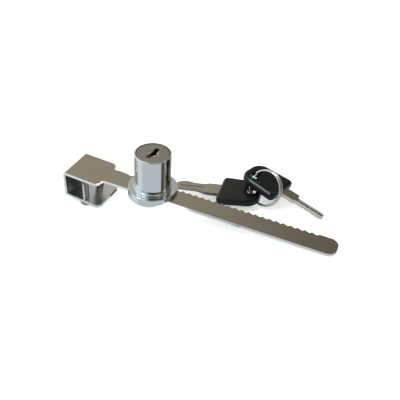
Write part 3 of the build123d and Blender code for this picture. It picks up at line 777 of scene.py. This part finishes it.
# Heads in mm: length, width at the blade's end and at the ring's end, thickness, rim's bevel and rounding
HEAD_LENGTH, HEAD_WIDTH, HEAD_WAIST, HEAD_THICKNESS, HEAD_BEVEL, HEAD_ROUND = 22.5, 21.5, 18.5, 4.8, 1.1, 0.32
# Corners of the heads: whether at the ring's end, radius in mm and segments
HEAD_CORNERS = ((True, 6.5, 10), (False, 2.5, 6))
# Slots of the heads in mm, each round the ring's wire: centre along and across, width along, length across
HEAD_SLOTS = {"a": (-17.45, -1.55, 4.8, 8.8), "b": (-16.6, -2.5, 4.0, 8.4)}


def key_place(key):
    """Matrix from a key's own millimetres to the object's place."""
    centre, way, upward = (Vector(v) for v in KEY_PLACES[key])
    across = upward.cross(way)
    turn = Matrix((way, across, upward)).transposed().to_4x4()
    return Matrix.Translation(centre * MM) @ turn @ Matrix.Scale(MM, 4)


def soften(piece, width, segments):
    """Rounds every sharp edge of a piece, smooths what is left and keeps its flat faces flat."""
    round_over = piece.modifiers.new("soften", "BEVEL")
    round_over.width = width
    round_over.segments = segments
    round_over.limit_method = "ANGLE"
    round_over.angle_limit = KEY_SHARP
    apply_modifiers(piece)
    bpy.ops.object.shade_smooth_by_angle(angle=KEY_SMOOTH)
    flatten = piece.modifiers.new("flat faces", "WEIGHTED_NORMAL")
    flatten.keep_sharp = True
    apply_modifiers(piece)


def cut_blade(key):
    """A key's blade in its own mm: a flat blank with both edges cut and a milled groove on each face."""
    outline = BLADE_OUTLINES[key]
    groove_low, groove_high = BLADE_GROOVES[key]
    half = BLADE_THICKNESS / 2
    deselect()
    bpy.ops.mesh.primitive_grid_add(x_subdivisions=len(outline) - 1, y_subdivisions=3, size=1)
    blade = bpy.context.object
    blade.name = f"cut_blade_{key}"
    columns = sorted({round(v.co.x, 4) for v in blade.data.vertices})
    rows = sorted({round(v.co.y, 4) for v in blade.data.vertices})
    for vertex in blade.data.vertices:
        along, low, high = outline[columns.index(round(vertex.co.x, 4))]
        across = (low, groove_low, groove_high, high)[rows.index(round(vertex.co.y, 4))]
        vertex.co = (along, across, -half)
    thicken(BLADE_THICKNESS)
    neck_end = outline[1][0]
    last = outline[-2][0]
    for side in (-1, 1):
        select_faces(
            blade,
            lambda centre, normal: normal.z * side > 0.9 and groove_low < centre.y < groove_high
            and neck_end + GROOVE_START < centre.x < last,
        )
        extrude(-side * GROOVE_DEPTH)
    bpy.ops.object.mode_set(mode="OBJECT")
    soften(blade, BLADE_ROUND, 2)
    return blade


def moulded_head(key):
    """A key's head in its own mm: tapered outline, big round corners, bevelled rims and a soft slot."""
    deselect()
    bpy.ops.mesh.primitive_plane_add(size=1)
    head = bpy.context.object
    head.name = f"moulded_head_{key}"
    for vertex in head.data.vertices:
        ring_end = vertex.co.x < 0
        along = -HEAD_LENGTH if ring_end else 0.0
        half = (HEAD_WAIST if ring_end else HEAD_WIDTH) / 2
        vertex.co = (along, half if vertex.co.y > 0 else -half, -HEAD_THICKNESS / 2)
    thicken(HEAD_THICKNESS)
    for ring_end, radius, segments in HEAD_CORNERS:
        select_edges(
            head,
            lambda a, b: abs(a.z - b.z) > HEAD_THICKNESS * 0.9
            and ((a.x < -HEAD_LENGTH + 0.1) if ring_end else (a.x > -0.1)),
        )
        bpy.ops.mesh.bevel(offset=radius, segments=segments, profile=0.5)
    select_faces(head, lambda centre, normal: abs(normal.z) > 0.9)
    bpy.ops.mesh.region_to_loop()
    bpy.ops.mesh.bevel(offset=HEAD_BEVEL, segments=1)
    bpy.ops.object.mode_set(mode="OBJECT")
    cut_away(head, slot_cutter(key))
    soften(head, HEAD_ROUND, 3)
    return head


def slot_cutter(key):
    """The round-ended block that cuts a head's slot."""
    along, across, width, length = HEAD_SLOTS[key]
    cutter = block((along, across, 0), (width, length, 2 * HEAD_THICKNESS))
    bpy.ops.object.mode_set(mode="EDIT")
    select_edges(cutter, lambda a, b: abs(a.z - b.z) > HEAD_THICKNESS)
    bpy.ops.mesh.bevel(offset=width * 0.42, segments=6)
    bpy.ops.object.mode_set(mode="OBJECT")
    return cutter


class LOCK_OT_keys(bpy.types.Operator):
    """Model the two keys: cut blades and moulded heads"""

    bl_idname = "lock.keys"
    bl_label = "Keys"

    def execute(self, context):
        finish = context.scene.lock_finish
        plastic = moulded_plastic()
        # Key a's cut edges get a darker copy of the blank's tone as painted shade; key b's take the bright
        # sheared tone
        for key, sides, dullness in (("a", shade(finish.key_steel, 0.64), 0.4), ("b", finish.sheared, 0.0)):
            blank, tree, shader = metal(
                f"milled_key_blank_{key}", finish.key_steel, stretch=(900.0, 250.0, 900.0), mottle=160.0,
                bump=0.0015, scratches=0.25, variation=0.08,
            )
            tone_sides(tree, shader, sides, dullness)
            for piece, node, slot, material in (
                (cut_blade(key), f"key_blade_{key}", "key_nickel", blank),
                (moulded_head(key), f"key_head_{key}", "black_plastic", plastic),
            ):
                piece.matrix_world = key_place(key)
                settle(piece)
                piece.data.materials.append(material)
                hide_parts(node)
                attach(piece, f"key_{key}")
        return {"FINISHED"}


class LOCK_OT_split_ring(bpy.types.Operator):
    """Dress the split ring"""

    bl_idname = "lock.split_ring"
    bl_label = "Split Ring"

    def execute(self, context):
        wire = metal(
            "drawn_bright_wire", context.scene.lock_finish.ring, rough=(0.10, 0.18),
            stretch=(400.0, 400.0, 400.0), bump=0.002, scratches=0.2, variation=0.05,
        )[0]
        dress(["split_ring"], wire)
        return {"FINISHED"}


# Stage: floor, studio cards, lamps, world and camera

# The camera's turn about the barrel in degrees, its place, its axes as rows of a matrix, and its lens in mm
CAMERA_TURN = 21.34
CAMERA_PLACE = (0.10520, -0.20035, 0.17744)
CAMERA_AXES = ((0.91313, -0.29262, 0.28384), (0.40397, 0.55587, -0.72652), (0.05482, 0.77807, 0.62579))
CAMERA_LENS = 48.776
# Lamps: name, place, size, share of the key light's power, and tint
LAMPS = (
    ("high_lamp", (-0.25, -0.15, 0.55), 0.40, 1.0, (1.0, 0.98, 0.96)),
    ("front_lamp", (0.30, -0.45, 0.30), 0.25, 0.5, (0.94, 0.97, 1.0)),
)
LAMP_AIM = Vector((0.02, 0, 0))
FLOOR_SIZE = 6
STUDIO_RADIUS = 1.3
# Cards on the floor round the barrel: start as a turn from the camera's side in degrees, strength and tint.
# The last row only ends the card before it
FLOOR_CARDS = (
    (-180.0, 0.05, (1.0, 0.98, 0.95)),
    (-134.0, 0.62, (0.86, 0.98, 1.0)),
    (-100.0, 0.80, (0.88, 0.99, 1.0)),
    (-62.0, 0.62, (0.90, 0.98, 1.0)),
    (58.0, 0.10, (1.0, 0.98, 0.95)),
    (80.0, 0.50, (1.0, 0.98, 0.94)),
    (96.0, 0.012, (1.0, 0.98, 0.95)),
    (138.0, 0.45, (1.0, 0.99, 0.96)),
    (168.0, 1.0, (1.0, 1.0, 1.0)),
    (180.0, 0.0, (1.0, 1.0, 1.0)),
)
# Wedges to a card, where the cards start, and how high they lie over the floor
CARD_STEPS, CARD_START, CARD_LIFT = 4, 16.0 * MM, 0.3 * MM
# Cards weaker than this are dark up to a distance from the barrel's axis, and have the outer tone beyond it
DARK_CARD, DARK_CARD_REACH, DARK_CARD_FADE = 0.3, 50.0 * MM, 2.0 * MM
OUTER_TONE = (0.608, 0.634, 0.64)
BARREL_RADIUS = 9.5 * MM
# Back card: the way to its middle, its distance, half its width and half its height in metres
BACK_WAY, BACK_DISTANCE, BACK_HALF_WIDTH, BACK_HALF_HEIGHT = (-0.30, 0.72, 0.62), 0.9, 0.75, 0.42
# Tones of the back card from its left end, 0, to its right end, 1
BACK_TONES = (
    (0.0, (0.60, 0.55, 0.49)), (0.30, (0.51, 0.48, 0.42)), (0.42, (0.51, 0.49, 0.44)),
    (0.55, (0.40, 0.385, 0.34)), (0.605, (0.335, 0.32, 0.285)), (0.635, (0.32, 0.30, 0.265)),
    (0.66, (0.26, 0.24, 0.215)), (0.70, (0.215, 0.20, 0.17)), (1.0, (0.16, 0.15, 0.13)),
)
CEILING = (1.0, 1.0, 1.0)
# Soft patches of the walls: turn from the camera's side, height, half width and softness in degrees, and tone
WALL_PATCHES = (
    (0.0, 5.0, 50.0, 12.0, (0.55, 0.56, 0.56)),
    (0.0, 42.0, 32.0, 8.0, (0.06, 0.06, 0.055)),
    (-85.0, 35.0, 45.0, 12.0, (0.62, 0.69, 0.71)),
    (-111.0, 36.0, 26.0, 10.0, (0.95, 1.15, 1.25)),
    (90.0, 30.0, 42.0, 10.0, (0.12, 0.12, 0.11)),
    (85.0, 36.0, 7.0, 3.5, (0.60, 0.58, 0.54)),
    (-74.0, 56.0, 7.0, 3.0, (8.0, 10.0, 11.0)),
)


def glowing_material(name):
    """A material that only glows; returns (material, tree, glow)."""
    material, tree, shader = blank_material(name)
    tree.nodes.remove(shader)
    glow = tree.nodes.new("ShaderNodeEmission")
    tree.links.new(glow.outputs[0], tree.nodes["Material Output"].inputs["Surface"])
    return material, tree, glow


def card_paint(name, tone, outer=None):
    """A floor card's glow: one tone, or one near the barrel and the outer one beyond."""
    material, tree, glow = glowing_material(name)
    glow.inputs["Color"].default_value = (*tone, 1.0)
    if outer:
        away = ramp_between(tree, barrel_distance(tree), DARK_CARD_REACH, DARK_CARD_REACH + DARK_CARD_FADE)
        tree.links.new(mix_colour(tree, away, tone, outer), glow.inputs["Color"])
    return material


def back_paint(right, middle):
    """The back card's tones, from its left end to its right."""
    material, tree, glow = glowing_material("back_card")
    along = vector_maths(tree, "DOT_PRODUCT", own_place(tree), right)
    span = tree.nodes.new("ShaderNodeMapRange")
    span.inputs["From Min"].default_value = middle.dot(right) - BACK_HALF_WIDTH
    span.inputs["From Max"].default_value = middle.dot(right) + BACK_HALF_WIDTH
    tree.links.new(along, span.inputs["Value"])
    ramp = tree.nodes.new("ShaderNodeValToRGB")
    stops = ramp.color_ramp.elements
    stops[0].color = (*BACK_TONES[0][1], 1.0)
    stops[1].color = (*BACK_TONES[-1][1], 1.0)
    for position, tone in BACK_TONES[1:-1]:
        stop = stops.new(position)
        stop.color = (*tone, 1.0)
    tree.links.new(span.outputs[0], ramp.inputs[0])
    tree.links.new(ramp.outputs[0], glow.inputs["Color"])
    return material


def wall_paint():
    """The ceiling's white, with one soft patch painted over it for each entry of WALL_PATCHES."""
    material, tree, glow = glowing_material("studio_walls")
    outward = vector_maths(tree, "NORMALIZE", own_place(tree))
    paint = CEILING
    for turn, height, half_width, soft, tone in WALL_PATCHES:
        aim = vector_maths(tree, "DOT_PRODUCT", outward, studio_way(turn, height))
        edge, core = cos(radians(half_width + soft)), cos(radians(half_width - soft))
        paint = mix_colour(tree, ramp_between(tree, aim, edge, core), paint, tone)
    tree.links.new(paint, glow.inputs["Color"])
    return material


def studio_way(turn, height):
    """Unit vector from the barrel towards a turn from the camera's side and a height, in degrees."""
    way = radians(CAMERA_TURN + turn)
    lift = radians(height)
    return (sin(way) * cos(lift), -cos(way) * cos(lift), sin(lift))


def barrel_ray(turn, reach):
    """Where the floor's image at half this turn on the barrel comes from, at a distance from the barrel."""
    stage = bpy.context.scene.lock_stage
    face = radians(CAMERA_TURN + turn / 2)
    way = radians(CAMERA_TURN + turn)
    x = BARREL_RADIUS * sin(face) + reach * sin(way)
    y = -BARREL_RADIUS * cos(face) - reach * cos(way)
    return (x, y, stage.floor_height + x * tan(stage.floor_slope) + CARD_LIFT)


def leave_to_reflections(surface):
    """Makes a studio surface seen only in reflections."""
    surface.visible_camera = False
    surface.visible_diffuse = False
    surface.visible_transmission = False
    surface.visible_shadow = False


def stage_card(name, corners, material):
    """A studio card through four corners."""
    deselect()
    bpy.ops.mesh.primitive_plane_add(size=1)
    card = bpy.context.object
    card.name = name
    for vertex, corner in zip(card.data.vertices, (corners[0], corners[1], corners[3], corners[2])):
        vertex.co = corner
    card.data.materials.append(material)
    leave_to_reflections(card)


class LOCK_OT_stage(bpy.types.Operator):
    """Set up the floor, cards, lamps, world and camera"""

    bl_idname = "lock.stage"
    bl_label = "Stage"

    def execute(self, context):
        settings = context.scene.lock_stage
        self.floor(settings)
        self.floor_cards()
        self.walls()
        self.back_card()
        self.lamps(settings)
        self.world(settings)
        self.camera(context)
        context.scene.view_settings.view_transform = "Standard"
        return {"FINISHED"}

    def floor(self, settings):
        """A white floor: a plain surface with a little light of its own, so it is white and keeps shadows."""
        deselect()
        bpy.ops.mesh.primitive_plane_add(
            size=FLOOR_SIZE, location=(0, 0, settings.floor_height), rotation=(0, -settings.floor_slope, 0)
        )
        floor = bpy.context.object
        floor.name = "floor"
        material, tree, shader = blank_material("white_floor")
        shader.inputs["Base Color"].default_value = (0.88, 0.88, 0.88, 1.0)
        shader.inputs["Roughness"].default_value = 0.9
        shader.inputs["Specular IOR Level"].default_value = 0.0
        shader.inputs["Emission Color"].default_value = (1.0, 1.0, 1.0, 1.0)
        glow = maths(tree, "MULTIPLY", self.seen(tree), settings.floor_glow)
        tree.links.new(glow, shader.inputs["Emission Strength"])
        floor.data.materials.append(material)

    def seen(self, tree):
        """1 for camera, glossy and transmission rays, and 0 for the rays that carry light."""
        path = tree.nodes.new("ShaderNodeLightPath")
        seen = maths(tree, "MAXIMUM", path.outputs["Is Camera Ray"], path.outputs["Is Glossy Ray"])
        return maths(tree, "MAXIMUM", seen, path.outputs["Is Transmission Ray"])

    def floor_cards(self):
        """Cards that the metal mirrors: wedges on the floor round the barrel, out to the walls."""
        for number, (card, following) in enumerate(zip(FLOOR_CARDS, FLOOR_CARDS[1:])):
            start, strength, tint = card
            stop = following[0]
            outer = OUTER_TONE if strength < DARK_CARD else None
            paint = card_paint(f"floor_card_{number}", shade(tint, strength), outer)
            for step in range(CARD_STEPS):
                first = start + (stop - start) * step / CARD_STEPS
                second = start + (stop - start) * (step + 1) / CARD_STEPS
                corners = [
                    barrel_ray(first, CARD_START), barrel_ray(second, CARD_START),
                    barrel_ray(second, STUDIO_RADIUS), barrel_ray(first, STUDIO_RADIUS),
                ]
                stage_card(f"floor_card_{number}_{step}", corners, paint)

    def walls(self):
        """Round walls and a bright ceiling, soft from one tone to the next."""
        deselect()
        bpy.ops.mesh.primitive_uv_sphere_add(segments=64, ring_count=32, radius=STUDIO_RADIUS)
        dome = bpy.context.object
        dome.name = "studio_walls"
        bpy.ops.object.shade_smooth()
        dome.data.materials.append(wall_paint())
        leave_to_reflections(dome)

    def back_card(self):
        """A warm grey card behind and above, darker towards the right, which the flat faces mirror."""
        away = Vector(BACK_WAY).normalized()
        right = away.cross(Vector((0, 0, 1))).normalized()
        up = right.cross(away)
        middle = away * BACK_DISTANCE
        corners = [
            middle + right * (a * BACK_HALF_WIDTH) + up * (b * BACK_HALF_HEIGHT)
            for a, b in ((-1, -1), (1, -1), (1, 1), (-1, 1))
        ]
        stage_card("back_card", corners, back_paint(right, middle))

    def lamps(self, settings):
        """One large soft lamp high on the left and a smaller one in front, which nothing mirrors."""
        for name, place, size, share, tint in LAMPS:
            bpy.ops.object.light_add(type="AREA", location=place)
            lamp = bpy.context.object
            lamp.name = name
            lamp.data.size = size
            lamp.data.energy = settings.key_light * share
            lamp.data.color = tint
            lamp.visible_glossy = False
            lamp.rotation_euler = (LAMP_AIM - Vector(place)).to_track_quat("-Z", "Y").to_euler()

    def world(self, settings):
        """An even world: white where it is seen, softer as a light."""
        world = bpy.data.worlds.new("studio")
        world.use_nodes = True
        tree = world.node_tree
        background = tree.nodes["Background"]
        background.inputs["Color"].default_value = (1, 1, 1, 1)
        strength = spread(tree, self.seen(tree), settings.ambient, 1.0)
        tree.links.new(strength, background.inputs["Strength"])
        bpy.context.scene.world = world

    def camera(self, context):
        """The camera at the photograph's viewing angle."""
        bpy.ops.object.camera_add(location=CAMERA_PLACE)
        camera = bpy.context.object
        camera.rotation_euler = Matrix(CAMERA_AXES).to_euler()
        camera.data.sensor_width = 36.0
        camera.data.lens = CAMERA_LENS
        camera.data.clip_start = 0.01
        context.scene.camera = camera


class LOCK_PT_panel(bpy.types.Panel):
    """The lock's settings and steps in the sidebar"""

    bl_idname = "LOCK_PT_panel"
    bl_label = "Showcase Lock"
    bl_space_type = "VIEW_3D"
    bl_region_type = "UI"
    bl_category = "Showcase Lock"

    def draw(self, context):
        for group in (context.scene.lock_finish, context.scene.lock_parts, context.scene.lock_stage):
            box = self.layout.box()
            for name in group.__annotations__:
                box.prop(group, name)
        for operator in OPERATORS:
            self.layout.operator(operator.bl_idname)


SETTINGS = (LockFinishSettings, LockStageSettings, LockPartSettings)
OPERATORS = (
    LOCK_OT_ratchet_bar,
    LOCK_OT_lock_body,
    LOCK_OT_plug,
    LOCK_OT_clamps,
    LOCK_OT_keys,
    LOCK_OT_split_ring,
    LOCK_OT_stage,
)
CLASSES = SETTINGS + OPERATORS + (LOCK_PT_panel,)


def register():
    for item in CLASSES:
        bpy.utils.register_class(item)
    bpy.types.Scene.lock_finish = PointerProperty(type=LockFinishSettings)
    bpy.types.Scene.lock_parts = PointerProperty(type=LockPartSettings)
    bpy.types.Scene.lock_stage = PointerProperty(type=LockStageSettings)


def unregister():
    del bpy.types.Scene.lock_stage
    del bpy.types.Scene.lock_parts
    del bpy.types.Scene.lock_finish
    for item in reversed(CLASSES):
        bpy.utils.unregister_class(item)


def main():
    """Builds everything."""
    register()
    bpy.ops.lock.ratchet_bar()
    bpy.ops.lock.lock_body()
    bpy.ops.lock.plug()
    bpy.ops.lock.clamps()
    bpy.ops.lock.keys()
    bpy.ops.lock.split_ring()
    bpy.ops.lock.stage()


if __name__ == "__main__":
    main()
